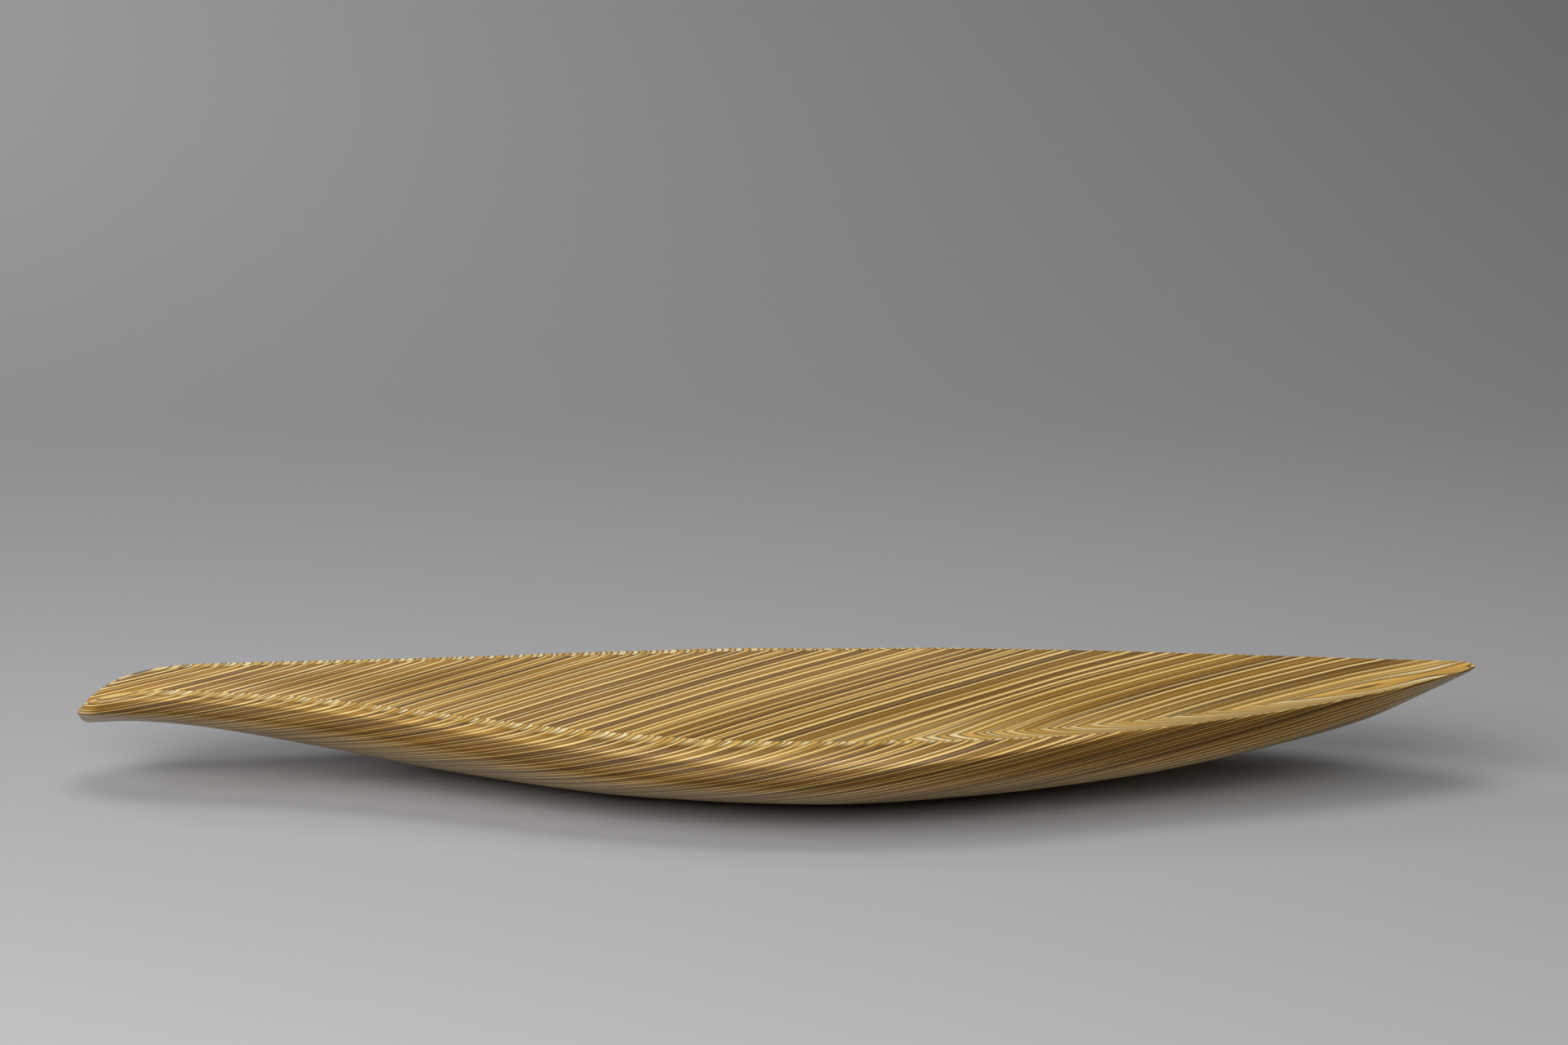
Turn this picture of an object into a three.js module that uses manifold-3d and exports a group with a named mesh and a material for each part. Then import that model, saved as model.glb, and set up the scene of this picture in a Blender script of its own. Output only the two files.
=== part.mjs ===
// A leaf-shaped dish, carved from a slanted stack of thin birch plies glued into one block.
// Millimetres, Z up. The blunt stem end points to -X and the leaf's tip to +X.
// The origin is on the table, under the middle of the length, and Y = 0 is the midrib.
// Each solid is one pack of neighbouring plies. The carved surface cuts the packs at a slant,
// and that is what draws the stripes of the real dish.

import * as THREE from 'three';
import { mergeVertices } from 'three/addons/utils/BufferGeometryUtils.js';
import Module from 'manifold-3d';

const wasm = await Module();
wasm.setup();

// overall sizes of the carved dish
const LENGTH = 481;
const WIDTH = 199;
const STEM_WIDTH = 36;

// heights above the table: the lip's crest, the midrib of the hollow and the underside
const STEM_LIP = 36.2;
const WAIST_LIP = 30.7;
const TIP_LIP = 41;
const STEM_MIDRIB = 30.5;
const LOWEST_MIDRIB = 8.4;
const STEM_UNDERSIDE = 20.2;

// the flat that the dish stands on is planed this deep into the round of the keel
const FOOT_DEPTH = 0.9;

// the stem's nose: how far its plan, its top and its underside take to round over
const NOSE_PLAN_ROUND = 12;
const NOSE_TOP_ROUND = 40;
const NOSE_UNDERSIDE_ROUND = 4;
const NOSE_UNDERSIDE_EDGE = 3;
const END_FLAT = 0.2;

// the tip: its half width, its thickness, how deep the midrib still is there, and its round
const TIP_HALF_WIDTH = 4.5;
const TIP_THICKNESS = 1.6;
const TIP_HOLLOW = 0.3;
const TIP_ROUND = 4;

// how far the lip swells out beyond its crest: broad on the stem half, gone at the tip
const STEM_LIP_REACH = 6;
const WAIST_LIP_REACH = 20.5;
const TIP_LIP_REACH = 0.3;

// how far under its crest the lip's side stands plumb
const STEM_LIP_DROP = 5;
const WAIST_LIP_DROP = 8.3;
const TIP_LIP_DROP = 0.6;

// the ply stack is shown as this many packs, each of about nine 0.46 mm veneers, with a gap
// between packs where a glue line joins them
const PACKS = 23;
const GLUE_GAP = 0.3;

// the plies rise towards the tip and fall away towards the back, in degrees
const PLY_RISE = 12;
const PLY_FALL = 3;

// how finely the carved surface is drawn: steps along the length and across half a section
const STATIONS = 38;
const HULL_STEPS = 7;
const LIP_STEPS = 5;
const HOLLOW_STEPS = 6;

// Smooth curve through a list of [place, value] points, level where their values turn.
function through(points) {
  const last = points.length - 1;
  const slope = (a, b) => (points[b][1] - points[a][1]) / (points[b][0] - points[a][0]);
  const slopes = points.map((_, i) => {
    const inside = i > 0 && i < last;
    if (inside && slope(i - 1, i) * slope(i, i + 1) <= 0) return 0;
    return slope(Math.max(i - 1, 0), Math.min(i + 1, last));
  });
  return (s) => {
    let i = 0;
    while (i < last - 1 && s >= points[i + 1][0]) i += 1;
    const span = points[i + 1][0] - points[i][0];
    const t = (s - points[i][0]) / span;
    const start = (2 * t ** 3 - 3 * t ** 2 + 1) * points[i][1];
    const end = (3 * t ** 2 - 2 * t ** 3) * points[i + 1][1];
    const leave = (t ** 3 - 2 * t ** 2 + t) * span * slopes[i];
    const arrive = (t ** 3 - t ** 2) * span * slopes[i + 1];
    return start + end + leave + arrive;
  };
}

// A line along the dish that goes from its value at the stem to one at the waist and on to one
// at the tip. Each point is [share of the length, share of the way from the waist to that end].
function alongDish(stem, stemPoints, waist, tipPoints, tip) {
  return through([
    ...stemPoints.map(([s, share]) => [s, waist + share * (stem - waist)]),
    ...tipPoints.map(([s, share]) => [s, waist + share * (tip - waist)]),
  ]);
}

// half the width over the lips: a narrow stem that swells to the waist, and a pointed tip
const halfWidth = alongDish(
  STEM_WIDTH / 2,
  [[0, 1], [0.042, 0.872], [0.094, 0.795], [0.177, 0.678], [0.27, 0.456], [0.374, 0.174], [0.5, 0]],
  WIDTH / 2,
  [[0.53, 0], [0.624, 0.064], [0.728, 0.27], [0.832, 0.482], [0.915, 0.7], [0.967, 0.872], [1, 1]],
  TIP_HALF_WIDTH,
);

// how far the lip swells out beyond its crest
const lipReach = alongDish(
  STEM_LIP_REACH,
  [[0, 1], [0.042, 0.76], [0.094, 0.62], [0.177, 0.55], [0.27, 0.45], [0.374, 0.1], [0.46, 0]],
  WAIST_LIP_REACH,
  [[0.51, 0], [0.624, 0.32], [0.728, 0.905], [0.832, 0.975], [1, 1]],
  TIP_LIP_REACH,
);

// how far under its crest the lip's side stands plumb
const lipDrop = alongDish(
  STEM_LIP_DROP,
  [[0, 1], [0.1, 1.05], [0.177, 0.76], [0.27, 0.4], [0.374, 0.05], [0.46, 0]],
  WAIST_LIP_DROP,
  [[0.51, 0], [0.624, 0.53], [0.728, 0.84], [0.832, 0.92], [1, 1]],
  TIP_LIP_DROP,
);

// height of the lip's crest: high at the stem, lowest past the middle, sweeping up to the tip
const lipCrest = alongDish(
  STEM_LIP,
  [[0, 1], [0.094, 0.93], [0.177, 0.82], [0.27, 0.49], [0.374, 0.145], [0.48, 0]],
  WAIST_LIP,
  [[0.52, 0], [0.624, 0.058], [0.728, 0.146], [0.832, 0.35], [0.915, 0.6], [0.967, 0.825], [1, 1]],
  TIP_LIP,
);

// height of the keel, the lowest line of the outside, with a long flat for the foot
const keel = alongDish(
  STEM_UNDERSIDE,
  [[0, 1], [0.042, 1.06], [0.094, 0.972], [0.177, 0.645], [0.27, 0.275], [0.374, 0.03], [0.43, 0]],
  -FOOT_DEPTH,
  [[0.52, 0], [0.624, 0.055], [0.728, 0.199], [0.832, 0.417], [0.915, 0.6], [0.967, 0.831], [1, 1]],
  TIP_LIP - TIP_THICKNESS,
);

// height of the midrib, the valley along the hollow
const midrib = alongDish(
  STEM_MIDRIB,
  [[0, 1], [0.042, 0.932], [0.094, 0.855], [0.177, 0.57], [0.27, 0.2], [0.374, 0]],
  LOWEST_MIDRIB,
  [
    [0.4, 0], [0.499, 0.053], [0.624, 0.232], [0.728, 0.344], [0.832, 0.523], [0.915, 0.734],
    [0.967, 0.91], [1, 1],
  ],
  TIP_LIP - TIP_HOLLOW,
);

// slope of the hollow's walls beside the midrib: round at the stem, a clear V further on
const midribSlope = through([[0, 0], [0.18, 0.02], [0.4, 0.18], [0.62, 0.08], [0.83, 0.12], [1, 0.03]]);

// Handles of the section's curves along the dish, as shares of the stretch that each spans.
// The hull is a shallow round under the stem and a deeper, fuller one towards the tip.
const hullFloor = through([[0, 0.32], [0.18, 0.33], [0.4, 0.37], [0.62, 0.47], [0.83, 0.75], [1, 0.5]]);
const hullSide = through([[0, 0.33], [0.18, 0.33], [0.4, 0.38], [0.62, 0.56], [0.83, 0.75], [1, 0.5]]);
const hullFlare = through([[0, 0], [0.6, 0], [0.83, 0.05], [1, 0.4]]);

// The lip is nearly square and level on top at the stem, and a plain round further on.
const lipSide = through([[0, 0.88], [0.12, 0.8], [0.42, 0.5], [0.62, 0.35], [1, 0.5]]);
const lipLevel = through([[0, 0.75], [0.12, 0.8], [0.42, 0.85], [0.62, 0.35], [1, 0.5]]);

// Past its crest the stem's wall dips in over a soft shoulder, and elsewhere runs straight down.
const wallShoulder = through([[0, 0.4], [0.12, 0.3], [0.42, 0.06], [1, 0.05]]);
const wallReach = through([[0, 0.7], [0.12, 0.6], [0.42, 0.75], [0.62, 0.65], [1, 0.6]]);

// the lip's side is never plumb lower than this share of the height of the section
const DROP_SHARE = 0.75;

// Share of full size at a distance from an end that rounds over like a quarter ellipse.
function roundOver(distance, reach) {
  const left = Math.max(0, 1 - (distance + END_FLAT) / reach);
  return Math.sqrt(1 - left * left);
}

// Half a section, from the keel out over the lip and in to the midrib, as [across, height].
function halfSection(distance) {
  const s = distance / LENGTH;
  const tipClose = roundOver(LENGTH - distance, TIP_ROUND);
  const planClose = roundOver(distance, NOSE_PLAN_ROUND) * tipClose;
  const half = halfWidth(s) * planClose;
  const crest = half - lipReach(s) * planClose;
  const bottom = keel(s);
  const top = lipCrest(s);
  const valley = midrib(s);
  const drop = Math.min(lipDrop(s), DROP_SHARE * (top - bottom));
  const beam = top - drop;
  const foot = wallReach(s) * crest;
  const point = (across, height) => new THREE.Vector2(across, height);

  const hull = new THREE.CubicBezierCurve(
    point(0, bottom),
    point(hullFloor(s) * half, bottom),
    point((1 - hullFlare(s)) * half, beam - hullSide(s) * (beam - bottom)),
    point(half, beam),
  );
  const lip = new THREE.CubicBezierCurve(
    point(half, beam),
    point(half, beam + lipSide(s) * drop),
    point(crest + lipLevel(s) * (half - crest), top),
    point(crest, top),
  );
  const hollow = new THREE.CubicBezierCurve(
    point(crest, top),
    point((1 - wallShoulder(s)) * crest, top),
    point(foot, valley + midribSlope(s) * foot),
    point(0, valley),
  );
  const points = [
    ...hull.getPoints(HULL_STEPS),
    ...lip.getPoints(LIP_STEPS).slice(1),
    ...hollow.getPoints(HOLLOW_STEPS).slice(1),
  ];

  // the nose rounds over from the top in one long sweep, and from below in a short one
  const edge = bottom + NOSE_UNDERSIDE_EDGE;
  const above = roundOver(distance, NOSE_TOP_ROUND);
  const below = roundOver(distance, NOSE_UNDERSIDE_ROUND);
  // and the tip rounds over about its own middle
  const middle = (top + bottom) / 2;
  return points.map(({ x, y }) => {
    const nosed = edge + (y - edge) * (y > edge ? above : below);
    return [x, middle + (nosed - middle) * tipClose];
  });
}

// Distances of the sections from the stem end, closer together where the ends round over.
function stationDistances() {
  const nose = [0, 0.4, 1.2, 2.6, 5, 8.5, NOSE_PLAN_ROUND];
  const tip = [TIP_ROUND, 2.6, 1.5, 0.7, 0.2, 0].map((left) => LENGTH - left);
  const span = LENGTH - TIP_ROUND - NOSE_PLAN_ROUND;
  const between = Array.from({ length: STATIONS - 1 }, (_, i) => {
    const t = (i + 1) / STATIONS;
    return NOSE_PLAN_ROUND + span * (t + 0.12 * Math.sin(Math.PI * t) * t);
  });
  return [...nose, ...between, ...tip];
}

// The whole carved dish as one closed surface: rings of points, joined ring to ring.
function carvedDish() {
  const distances = stationDistances();
  const positions = [];
  const indices = [];
  let ring = 0;
  for (const distance of distances) {
    const half = halfSection(distance);
    const mirrored = half.slice(1, -1).reverse().map(([across, height]) => [-across, height]);
    const section = [...half, ...mirrored];
    ring = section.length;
    for (const [across, height] of section) {
      positions.push(distance - LENGTH / 2, across, height);
    }
  }
  for (let i = 0; i < distances.length - 1; i += 1) {
    for (let j = 0; j < ring; j += 1) {
      const a = i * ring + j;
      const b = i * ring + ((j + 1) % ring);
      indices.push(a, b, a + ring, b, b + ring, a + ring);
    }
  }
  closeEnd(indices, 0, ring, false);
  closeEnd(indices, (distances.length - 1) * ring, ring, true);
  const geometry = new THREE.BufferGeometry();
  geometry.setAttribute('position', new THREE.Float32BufferAttribute(positions, 3));
  geometry.setIndex(indices);
  return geometry;
}

// Closes an end section with a strip of triangles from its keel up to its midrib.
function closeEnd(indices, first, ring, atTip) {
  const half = ring / 2;
  for (let k = 0; k < half; k += 1) {
    const right = first + k;
    const left = first + ((ring - k) % ring);
    const nextRight = right + 1;
    const nextLeft = first + ring - k - 1;
    const faces = [[right, left, nextRight], [nextRight, left, nextLeft]];
    for (const [a, b, c] of faces) {
      if (a === b || b === c || a === c) continue;
      indices.push(...(atTip ? [a, c, b] : [a, b, c]));
    }
  }
}

function solidFrom(geometry) {
  const bare = geometry.clone();
  bare.deleteAttribute('normal');
  bare.deleteAttribute('uv');
  const merged = mergeVertices(bare);
  return new wasm.Manifold(new wasm.Mesh({
    numProp: 3,
    vertProperties: new Float32Array(merged.attributes.position.array),
    triVerts: new Uint32Array(merged.index.array),
  }));
}

// The separate pieces that a solid is made of, each as its own geometry.
function piecesOf(solid) {
  const { vertProperties, triVerts } = solid.getMesh();
  const owner = Array.from({ length: vertProperties.length / 3 }, (_, i) => i);
  const root = (i) => {
    let top = i;
    while (owner[top] !== top) top = owner[top];
    owner[i] = top;
    return top;
  };
  for (let t = 0; t < triVerts.length; t += 3) {
    owner[root(triVerts[t])] = root(triVerts[t + 1]);
    owner[root(triVerts[t + 1])] = root(triVerts[t + 2]);
  }
  const faces = new Map();
  for (let t = 0; t < triVerts.length; t += 3) {
    const piece = root(triVerts[t]);
    if (!faces.has(piece)) faces.set(piece, []);
    faces.get(piece).push(triVerts[t], triVerts[t + 1], triVerts[t + 2]);
  }
  return [...faces.values()].map((corners) => {
    const positions = corners.flatMap((i) => [...vertProperties.slice(3 * i, 3 * i + 3)]);
    const geometry = new THREE.BufferGeometry();
    geometry.setAttribute('position', new THREE.Float32BufferAttribute(positions, 3));
    const merged = mergeVertices(geometry);
    merged.computeVertexNormals();
    return merged;
  });
}

// A box with its thickness along a direction, from one distance on it to another.
function slabAlong(direction, from, to, size) {
  const box = new THREE.BoxGeometry(size, size, to - from);
  const turn = new THREE.Quaternion().setFromUnitVectors(new THREE.Vector3(0, 0, 1), direction);
  box.applyQuaternion(turn);
  box.translate(...direction.clone().multiplyScalar((from + to) / 2).toArray());
  return solidFrom(box);
}

// Direction in which the plies are stacked, square to every glue line.
function stackDirection() {
  const rise = Math.tan(THREE.MathUtils.degToRad(PLY_RISE));
  const fall = Math.tan(THREE.MathUtils.degToRad(PLY_FALL));
  return new THREE.Vector3(-rise, fall, 1).normalize();
}

// Lowest and highest point of a surface along a direction.
function reachAlong(geometry, direction) {
  const { position } = geometry.attributes;
  const point = new THREE.Vector3();
  let low = Infinity;
  let high = -Infinity;
  for (let i = 0; i < position.count; i += 1) {
    const along = point.fromBufferAttribute(position, i).dot(direction);
    low = Math.min(low, along);
    high = Math.max(high, along);
  }
  return [low, high];
}

const birch = new THREE.MeshStandardMaterial({
  name: 'laminated_birch', color: 0xd7b47a, roughness: 0.42, metalness: 0,
});

function buildDish() {
  const dish = new THREE.Group();
  dish.name = 'leaf_dish';
  const surface = carvedDish();
  const size = 2 * (LENGTH + WIDTH);
  const up = new THREE.Vector3(0, 0, 1);
  const carved = solidFrom(surface).intersect(slabAlong(up, 0, size, size));

  // equal packs from under the tip upwards; the top one is twice as thick, so that it still
  // runs around the hollow at the stem in one piece
  const across = stackDirection();
  const [low, high] = reachAlong(surface, across);
  const pack = (high - low) / (PACKS + 1);
  for (let k = 0; k < PACKS; k += 1) {
    const from = k === 0 ? low - GLUE_GAP : low + k * pack + GLUE_GAP / 2;
    const to = k === PACKS - 1 ? high + GLUE_GAP : low + (k + 1) * pack - GLUE_GAP / 2;
    const slab = slabAlong(across, from, to, size);
    const pieces = piecesOf(carved.intersect(slab));
    pieces.forEach((piece, i) => {
      const mesh = new THREE.Mesh(piece, birch);
      const letter = pieces.length > 1 ? 'abcdefgh'[i] : '';
      mesh.name = `ply_pack_${String(k + 1).padStart(2, '0')}${letter}`;
      dish.add(mesh);
    });
  }
  return dish;
}

export default buildDish();
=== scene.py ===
"""A leaf-shaped dish, carved from a slanted stack of thin birch plies and lacquered satin.

Metres, Z up. The blunt stem points to -X and the leaf's tip to +X. The camera looks along +Y.
The carved surface is drawn fine here, by curves like those that shape the packs of plies, and
each pack keeps its own place in the stack.
"""
import math

import bmesh
import bpy
import numpy as np
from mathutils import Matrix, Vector


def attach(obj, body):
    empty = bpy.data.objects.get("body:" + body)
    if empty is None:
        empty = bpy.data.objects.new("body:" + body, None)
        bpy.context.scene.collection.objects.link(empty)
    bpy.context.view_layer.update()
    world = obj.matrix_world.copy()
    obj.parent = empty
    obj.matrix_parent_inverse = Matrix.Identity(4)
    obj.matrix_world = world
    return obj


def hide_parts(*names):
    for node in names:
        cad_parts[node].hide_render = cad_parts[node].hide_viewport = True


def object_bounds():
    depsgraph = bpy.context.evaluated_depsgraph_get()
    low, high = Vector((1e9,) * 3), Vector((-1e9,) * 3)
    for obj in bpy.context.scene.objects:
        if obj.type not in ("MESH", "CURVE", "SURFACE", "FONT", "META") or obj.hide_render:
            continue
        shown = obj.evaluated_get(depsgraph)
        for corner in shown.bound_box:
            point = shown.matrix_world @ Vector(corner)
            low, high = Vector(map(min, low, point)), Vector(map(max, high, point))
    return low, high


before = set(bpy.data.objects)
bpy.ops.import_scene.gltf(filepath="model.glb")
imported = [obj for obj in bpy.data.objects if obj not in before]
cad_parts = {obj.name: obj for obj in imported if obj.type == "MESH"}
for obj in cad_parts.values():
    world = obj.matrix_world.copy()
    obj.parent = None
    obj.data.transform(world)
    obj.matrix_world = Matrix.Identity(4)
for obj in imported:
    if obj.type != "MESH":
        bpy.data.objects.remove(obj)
cad_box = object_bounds()

MM = 0.001

# the carved dish, all heights above the table
LENGTH = cad_box[1][0] - cad_box[0][0]
WIDTH = 199 * MM
STEM_WIDTH = 36 * MM
STEM_LIP = 36.2 * MM
WAIST_LIP = 30.7 * MM
TIP_LIP = 41 * MM
STEM_MIDRIB = 30.5 * MM
LOWEST_MIDRIB = 8.4 * MM
STEM_UNDERSIDE = 20.2 * MM
FOOT_DEPTH = 0.9 * MM

# the rounds of the stem's nose
NOSE_PLAN_ROUND = 12 * MM
NOSE_TOP_ROUND = 40 * MM
NOSE_UNDERSIDE_ROUND = 4 * MM
NOSE_UNDERSIDE_EDGE = 3 * MM
END_FLAT = 0.2 * MM

# the tip: its half width, its thickness, how deep the midrib still is there, and its round
TIP_HALF_WIDTH = 4.5 * MM
TIP_THICKNESS = 1.6 * MM
TIP_HOLLOW = 0.3 * MM
TIP_ROUND = 4 * MM

# how far the lip swells out beyond its crest, and how far under it the lip's side stands plumb
STEM_LIP_REACH = 6 * MM
WAIST_LIP_REACH = 20.5 * MM
TIP_LIP_REACH = 0.3 * MM
STEM_LIP_DROP = 5 * MM
WAIST_LIP_DROP = 8.3 * MM
TIP_LIP_DROP = 0.6 * MM
DROP_SHARE = 0.75

# how finely the carved surface is drawn
NOSE_STATIONS = 36
STATIONS = 400
TIP_STATIONS = 14
HULL_STEPS = 40
LIP_STEPS = 20
HOLLOW_STEPS = 56

# the plies rise towards the tip and fall away towards the back
PLY_RISE = math.radians(12)
PLY_FALL = math.radians(3)
ACROSS_PLIES = Vector((-math.tan(PLY_RISE), math.tan(PLY_FALL), 1)).normalized()
SIDEWAYS_IN_PLIES = Vector((0, 1, -math.tan(PLY_FALL))).normalized()

# a face is a pack's cut side where it lies this square to the stack, points closer than this to
# the cut are taken as on it, and a point's stored normal is real if it is at least this long
CUT_SIDE = 0.99999
CUT_TOLERANCE = 0.002 * MM
LEAST_NORMAL = 0.5


def through(points):
    """Smooth curve through (place, value) points, level where their values turn."""
    places, values = (np.array(column) for column in zip(*points))
    steps = np.diff(values) / np.diff(places)
    last = len(points) - 1
    slopes = np.empty(last + 1)
    slopes[0], slopes[-1] = steps[0], steps[-1]
    for i in range(1, last):
        turns = steps[i - 1] * steps[i] <= 0
        span = places[i + 1] - places[i - 1]
        slopes[i] = 0 if turns else (values[i + 1] - values[i - 1]) / span

    def value(s):
        i = min(max(int(np.searchsorted(places, s, side="right")) - 1, 0), last - 1)
        span = places[i + 1] - places[i]
        t = (s - places[i]) / span
        start = (2 * t**3 - 3 * t**2 + 1) * values[i]
        end = (3 * t**2 - 2 * t**3) * values[i + 1]
        leave = (t**3 - 2 * t**2 + t) * span * slopes[i]
        arrive = (t**3 - t**2) * span * slopes[i + 1]
        return start + end + leave + arrive

    return value


def along_dish(stem, stem_points, waist, tip_points, tip):
    """A line that goes from its value at the stem to the waist's, and on to the tip's.
    Each point is (share of the length, share of the way from the waist to that end)."""
    return through(
        [(s, waist + share * (stem - waist)) for s, share in stem_points]
        + [(s, waist + share * (tip - waist)) for s, share in tip_points]
    )


# half the width over the lips: a narrow stem that swells to the waist, and a pointed tip
half_width = along_dish(
    STEM_WIDTH / 2,
    [(0, 1), (0.042, 0.872), (0.094, 0.795), (0.177, 0.678), (0.27, 0.456), (0.374, 0.174), (0.5, 0)],
    WIDTH / 2,
    [(0.53, 0), (0.624, 0.064), (0.728, 0.27), (0.832, 0.482), (0.915, 0.7), (0.967, 0.872), (1, 1)],
    TIP_HALF_WIDTH,
)

# how far the lip swells out beyond its crest
lip_reach = along_dish(
    STEM_LIP_REACH,
    [(0, 1), (0.042, 0.76), (0.094, 0.62), (0.177, 0.55), (0.27, 0.45), (0.374, 0.1), (0.46, 0)],
    WAIST_LIP_REACH,
    [(0.51, 0), (0.624, 0.32), (0.728, 0.905), (0.832, 0.975), (1, 1)],
    TIP_LIP_REACH,
)

# how far under its crest the lip's side stands plumb
lip_drop = along_dish(
    STEM_LIP_DROP,
    [(0, 1), (0.1, 1.05), (0.177, 0.76), (0.27, 0.4), (0.374, 0.05), (0.46, 0)],
    WAIST_LIP_DROP,
    [(0.51, 0), (0.624, 0.53), (0.728, 0.84), (0.832, 0.92), (1, 1)],
    TIP_LIP_DROP,
)

# height of the lip's crest: high at the stem, lowest past the middle, sweeping up to the tip
lip_crest = along_dish(
    STEM_LIP,
    [(0, 1), (0.094, 0.93), (0.177, 0.82), (0.27, 0.49), (0.374, 0.145), (0.48, 0)],
    WAIST_LIP,
    [(0.52, 0), (0.624, 0.058), (0.728, 0.146), (0.832, 0.35), (0.915, 0.6), (0.967, 0.825), (1, 1)],
    TIP_LIP,
)

# height of the keel, the lowest line of the outside, with a long flat for the foot
keel = along_dish(
    STEM_UNDERSIDE,
    [(0, 1), (0.042, 1.06), (0.094, 0.972), (0.177, 0.645), (0.27, 0.275), (0.374, 0.03), (0.43, 0)],
    -FOOT_DEPTH,
    [(0.52, 0), (0.624, 0.055), (0.728, 0.199), (0.832, 0.417), (0.915, 0.6), (0.967, 0.831), (1, 1)],
    TIP_LIP - TIP_THICKNESS,
)

# height of the midrib, the valley along the hollow
midrib = along_dish(
    STEM_MIDRIB,
    [(0, 1), (0.042, 0.932), (0.094, 0.855), (0.177, 0.57), (0.27, 0.2), (0.374, 0)],
    LOWEST_MIDRIB,
    [
        (0.4, 0), (0.499, 0.053), (0.624, 0.232), (0.728, 0.344), (0.832, 0.523), (0.915, 0.734),
        (0.967, 0.91), (1, 1),
    ],
    TIP_LIP - TIP_HOLLOW,
)

# slope of the hollow's walls beside the midrib: round at the stem, a clear V further on
midrib_slope = through([(0, 0), (0.18, 0.02), (0.4, 0.18), (0.62, 0.08), (0.83, 0.12), (1, 0.03)])

# Handles of the section's curves along the dish, as shares of the stretch that each spans.
# The hull is a shallow round under the stem and a deeper, fuller one towards the tip.
hull_floor = through([(0, 0.32), (0.18, 0.33), (0.4, 0.37), (0.62, 0.47), (0.83, 0.75), (1, 0.5)])
hull_side = through([(0, 0.33), (0.18, 0.33), (0.4, 0.38), (0.62, 0.56), (0.83, 0.75), (1, 0.5)])
hull_flare = through([(0, 0), (0.6, 0), (0.83, 0.05), (1, 0.4)])

# The lip is nearly square and level on top at the stem, and a plain round further on.
lip_side = through([(0, 0.88), (0.12, 0.8), (0.42, 0.5), (0.62, 0.35), (1, 0.5)])
lip_level = through([(0, 0.75), (0.12, 0.8), (0.42, 0.85), (0.62, 0.35), (1, 0.5)])

# Past its crest the stem's wall dips in over a soft shoulder, and elsewhere runs straight down.
wall_shoulder = through([(0, 0.4), (0.12, 0.3), (0.42, 0.06), (1, 0.05)])
wall_reach = through([(0, 0.7), (0.12, 0.6), (0.42, 0.75), (0.62, 0.65), (1, 0.6)])


def round_over(distance, reach):
    """Share of full size at a distance from an end that rounds over like a quarter ellipse."""
    left = max(0.0, 1 - (distance + END_FLAT) / reach)
    return math.sqrt(1 - left * left)


def curve(handles, places):
    """Points on a cubic curve with four handles, at these shares of its way."""
    t = places[:, None]
    a, b, c, d = (np.array(handle) for handle in handles)
    return (1 - t) ** 3 * a + 3 * (1 - t) ** 2 * t * b + 3 * (1 - t) * t**2 * c + t**3 * d


def half_section(distance):
    """Half a section, from the keel out over the lip and in to the midrib, as (across, height)."""
    s = distance / LENGTH
    tip_close = round_over(LENGTH - distance, TIP_ROUND)
    plan_close = round_over(distance, NOSE_PLAN_ROUND) * tip_close
    half = half_width(s) * plan_close
    crest = half - lip_reach(s) * plan_close
    bottom, top, valley = keel(s), lip_crest(s), midrib(s)
    drop = min(lip_drop(s), DROP_SHARE * (top - bottom))
    beam = top - drop
    foot = wall_reach(s) * crest

    even = np.linspace(0, 1, HULL_STEPS + 1)
    around = np.linspace(0, 1, LIP_STEPS + 1)[1:]
    ease = np.linspace(0, 1, HOLLOW_STEPS + 1)[1:]
    hull = [(0, bottom), (hull_floor(s) * half, bottom)]
    hull += [((1 - hull_flare(s)) * half, beam - hull_side(s) * (beam - bottom)), (half, beam)]
    lip = [(half, beam), (half, beam + lip_side(s) * drop)]
    lip += [(crest + lip_level(s) * (half - crest), top), (crest, top)]
    hollow = [(crest, top), ((1 - wall_shoulder(s)) * crest, top)]
    hollow += [(foot, valley + midrib_slope(s) * foot), (0, valley)]
    points = np.vstack([
        curve(hull, even), curve(lip, around), curve(hollow, ease * ease * (3 - 2 * ease)),
    ])

    # the nose rounds over from the top in one long sweep, and from below in a short one
    edge = bottom + NOSE_UNDERSIDE_EDGE
    above = round_over(distance, NOSE_TOP_ROUND)
    below = round_over(distance, NOSE_UNDERSIDE_ROUND)
    height = points[:, 1]
    nosed = edge + (height - edge) * np.where(height > edge, above, below)
    # and the tip rounds over about its own middle
    middle = (top + bottom) / 2
    points[:, 1] = middle + (nosed - middle) * tip_close
    return points


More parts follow.
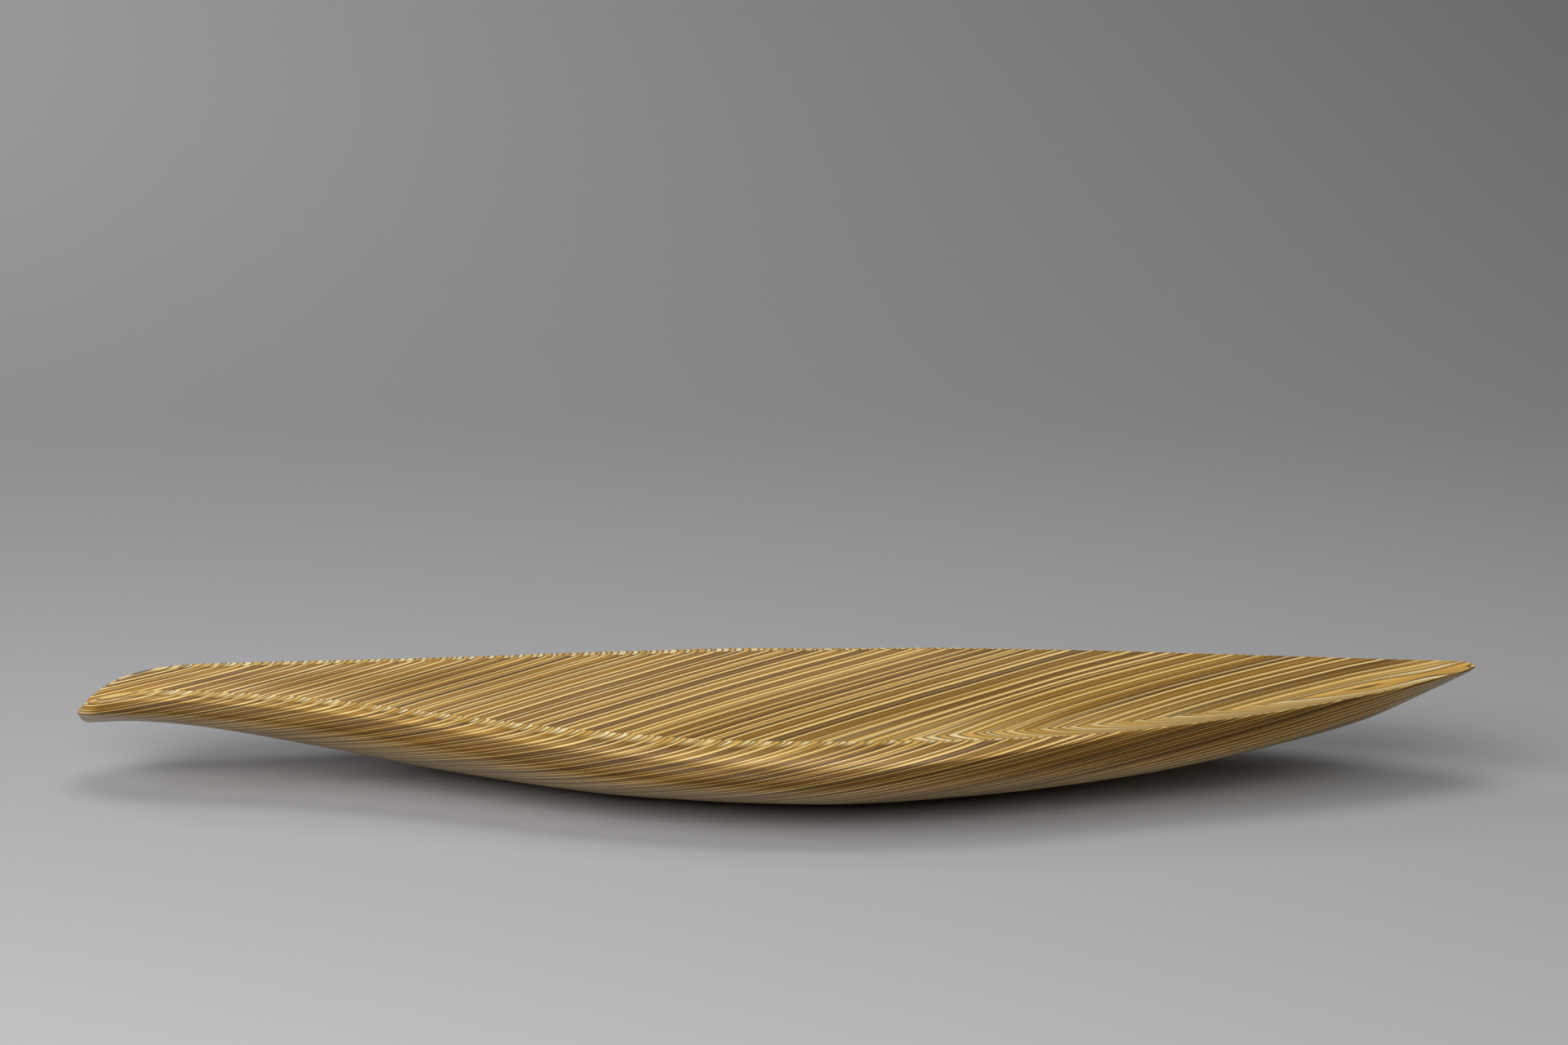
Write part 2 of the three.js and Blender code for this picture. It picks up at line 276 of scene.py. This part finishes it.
def carved_surface():
    """The dish as rings of points, its faces, and the smooth normal at each point."""
    nose = NOSE_PLAN_ROUND * np.linspace(0, 1, NOSE_STATIONS, endpoint=False) ** 2
    between = np.linspace(NOSE_PLAN_ROUND, LENGTH - TIP_ROUND, STATIONS, endpoint=False)
    tip_end = LENGTH - TIP_ROUND * np.linspace(1, 0, TIP_STATIONS) ** 2
    distances = np.concatenate([nose, between, tip_end])
    rings = []
    for distance in distances:
        half = half_section(distance)
        mirrored = half[-2:0:-1] * (-1, 1)
        section = np.vstack([half, mirrored])
        along = np.full(len(section), distance - LENGTH / 2)
        rings.append(np.column_stack([along, section]))
    ring = len(rings[0])
    points = np.vstack(rings)
    points[:, 2] = np.clip(points[:, 2], 0, cad_box[1][2])

    first = np.arange(len(rings) - 1)[:, None] * ring
    a = (first + np.arange(ring)).ravel()
    b = (first + (np.arange(ring) + 1) % ring).ravel()
    faces = np.column_stack([a, b, b + ring, a + ring])
    normals = np.zeros_like(points)
    flat = np.cross(points[faces[:, 2]] - points[faces[:, 0]], points[faces[:, 3]] - points[faces[:, 1]])
    for corner in range(4):
        np.add.at(normals, faces[:, corner], flat)
    normals /= np.linalg.norm(normals, axis=1)[:, None] + 1e-12

    tip = (len(rings) - 1) * ring
    ends = [list(range(ring))[::-1], [tip + j for j in range(ring)]]
    return points, faces, ends, normals


def pack_limits():
    """Where each pack of plies starts and ends across the stack, midway between neighbours."""
    reach = {}
    for name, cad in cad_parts.items():
        along = [vertex.co.dot(ACROSS_PLIES) for vertex in cad.data.vertices]
        reach[name] = (min(along), max(along))
    names = sorted(reach, key=lambda name: reach[name][0])
    limits = {}
    for i, name in enumerate(names):
        low = -math.inf if i == 0 else (reach[names[i - 1]][1] + reach[name][0]) / 2
        high = math.inf if i == len(names) - 1 else (reach[name][1] + reach[names[i + 1]][0]) / 2
        limits[name] = (low, high)
    return limits


def cut_pack(name, surface, low, high, material):
    """One pack of plies between two glue lines, as a closed mesh with the carved surface's shading."""
    points, faces, ends, normals = surface
    along = points @ np.array(ACROSS_PLIES)
    face_low, face_high = along[faces].min(1), along[faces].max(1)
    near = faces[(face_high >= low) & (face_low <= high)].tolist()
    near += [end for end in ends if along[end].max() >= low and along[end].min() <= high]
    used = sorted({i for face in near for i in face})
    number = {i: n for n, i in enumerate(used)}

    mesh = bpy.data.meshes.new(name)
    mesh.from_pydata(points[used].tolist(), [], [[number[i] for i in face] for face in near])
    body = bmesh.new()
    body.from_mesh(mesh)
    shade = body.verts.layers.float_vector.new("shade")
    body.verts.ensure_lookup_table()
    for vertex, i in zip(body.verts, used):
        vertex[shade] = Vector(normals[i])

    for limit, outward in ((low, -1), (high, 1)):
        if math.isinf(limit):
            continue
        cut = bmesh.ops.bisect_plane(
            body, geom=body.verts[:] + body.edges[:] + body.faces[:], dist=CUT_TOLERANCE,
            plane_co=ACROSS_PLIES * limit, plane_no=ACROSS_PLIES * outward, clear_outer=True,
        )
        rim = [item for item in cut["geom_cut"] if isinstance(item, bmesh.types.BMEdge)]
        bmesh.ops.triangle_fill(body, use_beauty=True, edges=rim, normal=ACROSS_PLIES * outward)
    bmesh.ops.recalc_face_normals(body, faces=body.faces)

    # the carved surface keeps its own smooth normals, and a cut side or a point without one stays flat
    is_flat = [abs(face.normal.dot(ACROSS_PLIES)) > CUT_SIDE for face in body.faces]
    split = []
    for face, flat in zip(body.faces, is_flat):
        face.smooth = not flat
        for corner in face.verts:
            own = corner[shade]
            stays_flat = flat or own.length < LEAST_NORMAL
            split.append(face.normal.copy() if stays_flat else own.normalized())
    body.to_mesh(mesh)
    body.free()
    mesh.normals_split_custom_set(split)
    mesh.materials.append(material)
    piece = bpy.data.objects.new(f"{name}_carved", mesh)
    bpy.context.scene.collection.objects.link(piece)
    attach(piece, "root")
    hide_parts(name)


def linear(colour):
    """An sRGB hex colour as the linear colour that Blender takes."""
    channels = [int(colour[i:i + 2], 16) / 255 for i in (0, 2, 4)]
    bent = [c / 12.92 if c <= 0.04045 else ((c + 0.055) / 1.055) ** 2.4 for c in channels]
    return (*bent, 1)


def node(tree, kind, inputs=(), **settings):
    """Adds a node. Settings go on the node itself, inputs on its sockets, as values or links."""
    made = tree.nodes.new(kind)
    for name, value in settings.items():
        setattr(made, name, value)
    for socket, value in dict(inputs).items():
        if isinstance(value, bpy.types.NodeSocket):
            tree.links.new(value, made.inputs[socket])
        else:
            made.inputs[socket].default_value = value
    return made


def new_material(name):
    material = bpy.data.materials.new(name)
    material.use_nodes = True
    material.node_tree.nodes.clear()
    return material, material.node_tree


# laminated birch, in millimetres: mean thickness of a veneer, of the glue between two, and of
# the bright and dark lines on the walls, which lie closer together than the lip's bands do;
# and the step, in whole turns, that spreads tones evenly over layers in a row
VENEER = 0.5
GLUE_LINE = 0.1
WALL_LINE = 0.31
GOLDEN_STEP = 0.618034

FACE_CREAM = "FBE6AC"
FACE_TAN = "EAC87C"
FACE_PALE_GOLD = "E2B860"
FACE_GOLD = "C59436"
WALL_CREAM = "D4B672"
WALL_GOLD = "966D21"
WALL_BROWN = "583C11"
# painted shade mixed with end-grain brown: the tint that darkens the steepest sides, most of all the
# hull's
STEEP_BROWN_AND_PAINTED_SHADE = "A39A82"
GLUE = "331C06"


def layers(tree, height, thickness):
    """Layers of uneven thickness across the stack. Gives each one's random tone, a second tone
    that golden-ratio steps keep unlike its neighbours', and the share of glue at its borders."""
    level = node(tree, "ShaderNodeMath", {0: height, 1: thickness}, operation="DIVIDE").outputs[0]
    layer = node(tree, "ShaderNodeTexVoronoi", {"W": level, "Scale": 1.0, "Randomness": 1.0},
                 voronoi_dimensions="1D", feature="F1")
    tone = node(tree, "ShaderNodeSeparateColor", {"Color": layer.outputs["Color"]}).outputs[0]
    number = node(tree, "ShaderNodeMath", {0: layer.outputs["W"]}, operation="FLOOR").outputs[0]
    steps = node(tree, "ShaderNodeMath", {0: number, 1: GOLDEN_STEP}, operation="MULTIPLY").outputs[0]
    unlike = node(tree, "ShaderNodeMath", {0: steps}, operation="FRACT").outputs[0]
    border = node(tree, "ShaderNodeTexVoronoi", {"W": level, "Scale": 1.0, "Randomness": 1.0},
                  voronoi_dimensions="1D", feature="DISTANCE_TO_EDGE").outputs["Distance"]
    glue = node(tree, "ShaderNodeMapRange", {"Value": border, "From Min": 0.3 * GLUE_LINE / thickness,
                                             "From Max": 1.1 * GLUE_LINE / thickness,
                                             "To Min": 0.9, "To Max": 0.0}).outputs[0]
    return tone, unlike, glue


def laminated_birch():
    """Laminated birch, carved, sanded and lacquered satin, in veneers with their grain along the
    dish and across it. On top of the lip the carving lays their faces bare, as wide cream and
    golden bands with a dark glue line between each two. On the walls it cuts through the cross
    veneers' ends, which drink the lacquer brown, so that the long ones are left as bright thin
    lines. The steeper the cut, the deeper the brown, and the duller the sheen on its open pores.
    The darkening of the steepest sides, most of all the hull's, is partly that brown and partly
    painted shade, standing in for the shade that falls on the hull's side."""
    material, tree = new_material("laminated_birch_carved_satin_lacquer")
    place = node(tree, "ShaderNodeTexCoord").outputs["Object"]
    facing = node(tree, "ShaderNodeTexCoord").outputs["Normal"]
    height = node(tree, "ShaderNodeVectorMath", {0: place, 1: ACROSS_PLIES / MM},
                  operation="DOT_PRODUCT").outputs["Value"]

    # the press leaves the plies a little wavy
    wave = node(tree, "ShaderNodeTexNoise", {"Vector": place, "Scale": 14.0, "Detail": 2.0,
                                             "Roughness": 0.4}).outputs["Fac"]
    waved = node(tree, "ShaderNodeMath", {0: wave, 1: 0.7, 2: height}, operation="MULTIPLY_ADD").outputs[0]

    # each veneer has a thickness and a tone of its own, and neighbours come from like sheets
    veneer_tone, veneer_kind, glue = layers(tree, waved, VENEER)
    line_tone, line_kind, _ = layers(tree, waved, WALL_LINE)
    sheets = node(tree, "ShaderNodeTexNoise", {"W": waved, "Scale": 0.45, "Detail": 1.0},
                  noise_dimensions="1D").outputs["Fac"]
    likeness = node(tree, "ShaderNodeMapRange", {"Value": sheets, "From Min": 0.3, "From Max": 0.7,
                                                 "To Min": -0.26, "To Max": 0.26}).outputs[0]

    # pores: real ones are about 0.1 mm, drawn 0.4 mm wide so that they show from a step away
    pores = node(tree, "ShaderNodeTexNoise", {"Vector": place, "Scale": 2600.0,
                                              "Detail": 1.0}).outputs["Fac"]
    speck = node(tree, "ShaderNodeMapRange", {"Value": pores, "From Min": 0.3, "From Max": 0.7,
                                              "To Min": -0.2, "To Max": 0.2}).outputs[0]
    tone = node(tree, "ShaderNodeMath", {0: line_tone, 1: likeness}, operation="ADD").outputs[0]
    specked = node(tree, "ShaderNodeMath", {0: tone, 1: speck}, operation="ADD", use_clamp=True).outputs[0]

    is_long = node(tree, "ShaderNodeMapRange", {"Value": veneer_kind, "From Min": 0.45,
                                                "From Max": 0.5}).outputs[0]
    long_face = node(tree, "ShaderNodeMix", {0: veneer_tone, 6: linear(FACE_TAN), 7: linear(FACE_CREAM)},
                     data_type="RGBA").outputs[2]
    cross_face = node(tree, "ShaderNodeMix", {0: veneer_tone, 6: linear(FACE_GOLD),
                                              7: linear(FACE_PALE_GOLD)}, data_type="RGBA").outputs[2]
    bare_faces = node(tree, "ShaderNodeMix", {0: is_long, 6: cross_face, 7: long_face},
                      data_type="RGBA").outputs[2]
    faces = node(tree, "ShaderNodeMix", {0: glue, 6: bare_faces, 7: linear(GLUE)},
                 data_type="RGBA").outputs[2]

    is_bright = node(tree, "ShaderNodeMapRange", {"Value": line_kind, "From Min": 0.7,
                                                  "From Max": 0.82}).outputs[0]
    brown = node(tree, "ShaderNodeMix", {0: specked, 6: linear(WALL_BROWN), 7: linear(WALL_GOLD)},
                 data_type="RGBA").outputs[2]
    walls = node(tree, "ShaderNodeMix", {0: is_bright, 6: brown, 7: linear(WALL_CREAM)},
                 data_type="RGBA").outputs[2]

    # how far the carving cuts through the cross veneers, and how steeply; the steepest sides are darkened
    # with end-grain brown and painted shade together
    across = node(tree, "ShaderNodeVectorMath", {0: facing, 1: SIDEWAYS_IN_PLIES},
                  operation="DOT_PRODUCT").outputs["Value"]
    cut = node(tree, "ShaderNodeMath", {0: across}, operation="ABSOLUTE").outputs[0]
    end_grain = node(tree, "ShaderNodeMapRange", {"Value": cut, "From Min": 0.05, "From Max": 0.22},
                     interpolation_type="SMOOTHSTEP").outputs[0]
    steep_brown_and_shade = node(tree, "ShaderNodeMapRange", {"Value": cut, "From Min": 0.44, "From Max": 0.88},
                 interpolation_type="SMOOTHSTEP").outputs[0]
    plies = node(tree, "ShaderNodeMix", {0: end_grain, 6: faces, 7: walls}, data_type="RGBA").outputs[2]
    # painted shade: the steepest sides, such as the hull's, are multiplied darker, partly for their end
    # grain and partly for the shade that falls there
    shaded = node(tree, "ShaderNodeMix", {0: steep_brown_and_shade, 6: plies, 7: linear(STEEP_BROWN_AND_PAINTED_SHADE)},
                  data_type="RGBA", blend_type="MULTIPLY").outputs[2]

    dullness = node(tree, "ShaderNodeMapRange", {"Value": cut, "From Min": 0.45, "From Max": 0.8,
                                                 "To Min": 0.32, "To Max": 0.62}).outputs[0]
    shine = node(tree, "ShaderNodeMapRange", {"Value": cut, "From Min": 0.45, "From Max": 0.8,
                                              "To Min": 0.5, "To Max": 0.25}).outputs[0]
    shader = node(tree, "ShaderNodeBsdfPrincipled", {
        "Base Color": shaded, "Roughness": dullness, "IOR": 1.45, "Specular IOR Level": shine,
    })
    node(tree, "ShaderNodeOutputMaterial", {"Surface": shader.outputs[0]})
    return material


PAPER = "A0A0A2"


def grey_paper():
    """Background paper, pulp pressed smooth: an even, matt grey with no gloss."""
    material, tree = new_material("grey_background_paper")
    shader = node(tree, "ShaderNodeBsdfPrincipled", {
        "Base Color": linear(PAPER), "Roughness": 0.9, "Specular IOR Level": 0.2,
    })
    node(tree, "ShaderNodeOutputMaterial", {"Surface": shader.outputs[0]})
    return material


# the paper runs flat under the dish and curves up slowly behind it
PAPER_HALF_WIDTH = 7.0
PAPER_FRONT = -3.0
SWEEP_START = 1.0
SWEEP_ROUND = 4.0
SWEEP_STEPS = 64


def paper_sweep(material):
    profile = [(PAPER_FRONT, 0.0)]
    for i in range(SWEEP_STEPS + 1):
        turn = math.pi / 2 * i / SWEEP_STEPS
        profile.append((SWEEP_START + SWEEP_ROUND * math.sin(turn), SWEEP_ROUND * (1 - math.cos(turn))))
    points = [(x, y, z) for y, z in profile for x in (-PAPER_HALF_WIDTH, PAPER_HALF_WIDTH)]
    faces = [(2 * i, 2 * i + 1, 2 * i + 3, 2 * i + 2) for i in range(len(profile) - 1)]
    mesh = bpy.data.meshes.new("paper_sweep")
    mesh.from_pydata(points, [], faces)
    mesh.polygons.foreach_set("use_smooth", [True] * len(faces))
    mesh.materials.append(material)
    paper = bpy.data.objects.new("paper_sweep", mesh)
    bpy.context.scene.collection.objects.link(paper)


# the view: a long lens, a little above the table, with the dish low in the frame. The point AIM
# lands on AIM_PIXEL, and a metre there spans AIM_SCALE pixels.
PHOTO_WIDTH = 1920
PHOTO_HEIGHT = 1280
LENS = 79.875 * MM
SENSOR = 36 * MM
AIM = Vector((0, 0, 18 * MM))
AIM_PIXEL = (951, 893)
AIM_SCALE = 3545
LOOK_DOWN = math.radians(12)


def camera():
    pixels = LENS / SENSOR * PHOTO_WIDTH
    right_of_middle = (AIM_PIXEL[0] - PHOTO_WIDTH / 2) / pixels
    below_middle = (AIM_PIXEL[1] - PHOTO_HEIGHT / 2) / pixels
    pitch = LOOK_DOWN - math.atan(below_middle)
    ahead = Vector((0, math.cos(pitch), -math.sin(pitch)))
    up = Vector((0, math.sin(pitch), math.cos(pitch)))
    depth = pixels / AIM_SCALE
    data = bpy.data.cameras.new("camera")
    data.lens = LENS / MM
    data.sensor_width = SENSOR / MM
    data.sensor_fit = "HORIZONTAL"
    holder = bpy.data.objects.new("camera", data)
    holder.location = AIM - ahead * depth + up * below_middle * depth
    holder.location.x -= right_of_middle * depth
    holder.rotation_euler = (math.pi / 2 - pitch, 0, 0)
    bpy.context.scene.collection.objects.link(holder)
    bpy.context.scene.camera = holder


def softbox(name, place, aim, size, power):
    """A flat lamp: where it stands, what it faces and its size in metres, its power in watts."""
    data = bpy.data.lights.new(name, "AREA")
    data.shape = "RECTANGLE"
    data.size, data.size_y = size
    data.energy = power
    lamp = bpy.data.objects.new(name, data)
    lamp.location = place
    lamp.rotation_euler = (Vector(aim) - Vector(place)).to_track_quat("-Z", "Y").to_euler()
    bpy.context.scene.collection.objects.link(lamp)


def studio_light():
    """Wide softboxes low in front and to the left light the hull and the floor under it. One
    overhead draws the shadow under the dish, and two light the paper behind."""
    softbox("front_left_softbox", (-0.54, -1.33, 0.70), (0, 0, 0), (1.5, 0.6), 21)
    softbox("front_softbox", (-0.26, -1.46, 0.60), (0, 0, 0), (1.2, 0.5), 10)
    softbox("high_left_softbox", (-0.87, -0.87, 1.03), (0, 0, 0), (0.9, 0.6), 9)
    softbox("overhead_softbox", (-0.11, 0.12, 1.55), (0, 0, 0), (1.0, 0.9), 9)
    softbox("backdrop_softbox", (-0.5, 1.8, 1.9), (-0.5, 2.6, 0), (3.0, 1.2), 11)
    softbox("backdrop_left_softbox", (-1.6, 1.8, 1.6), (-1.2, 2.6, 0), (1.2, 1.2), 18)
    world = bpy.data.worlds.new("studio")
    world.use_nodes = True
    world.node_tree.nodes.clear()
    sky = node(world.node_tree, "ShaderNodeBackground", {"Color": (1, 1, 1, 1), "Strength": 0.01})
    node(world.node_tree, "ShaderNodeOutputWorld", {"Surface": sky.outputs[0]})
    bpy.context.scene.world = world


camera()
studio_light()
paper_sweep(grey_paper())
surface = carved_surface()
birch = laminated_birch()
for pack, (low, high) in pack_limits().items():
    cut_pack(pack, surface, low, high, birch)

bpy.context.scene.view_settings.view_transform = "Standard"
